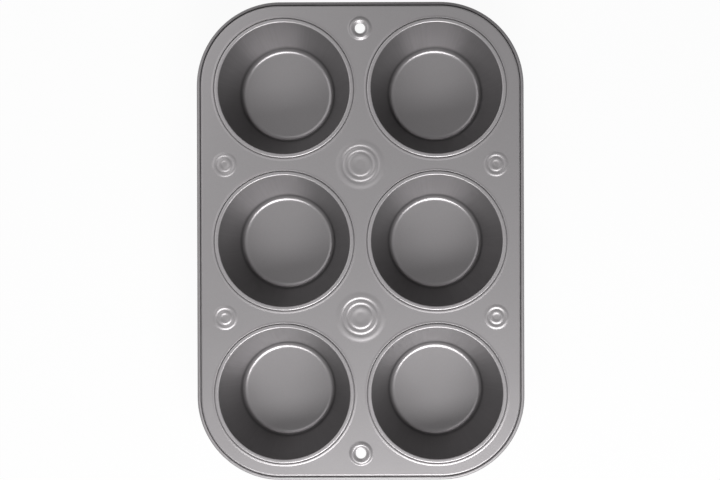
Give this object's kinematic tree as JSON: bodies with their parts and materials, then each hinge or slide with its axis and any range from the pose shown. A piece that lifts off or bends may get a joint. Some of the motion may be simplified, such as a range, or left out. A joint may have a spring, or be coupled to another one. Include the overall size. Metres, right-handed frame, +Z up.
{
  "type": "jumbo muffin pan",
  "caption": "Jumbo muffin pan in grey non-stick steel: deep round cups crimped into a flat stamped plate with pressed rings, hanging holes and a curled rim.",
  "frame": {"origin": "on the surface the pan stands on, under the middle of its outline, level with the cups' undersides", "axes": "+X across the pan, +Y along its length, +Z up out of the cups"},
  "size_m": [0.235, 0.3436, 0.048],
  "materials": {
    "plate_coating": "satin grey non-stick coating on steel",
    "cup_coating": "satin grey non-stick coating on steel",
    "bare_wire": "bare steel wire, dark and dull"
  },
  "bodies": {
    "root": {"frame_plate": "plate_coating", "rim_wire": "bare_wire", "cup_front_left": "cup_coating", "cup_front_right": "cup_coating", "cup_middle_left": "cup_coating", "cup_middle_right": "cup_coating", "cup_rear_left": "cup_coating", "cup_rear_right": "cup_coating"}
  },
  "joints": []
}
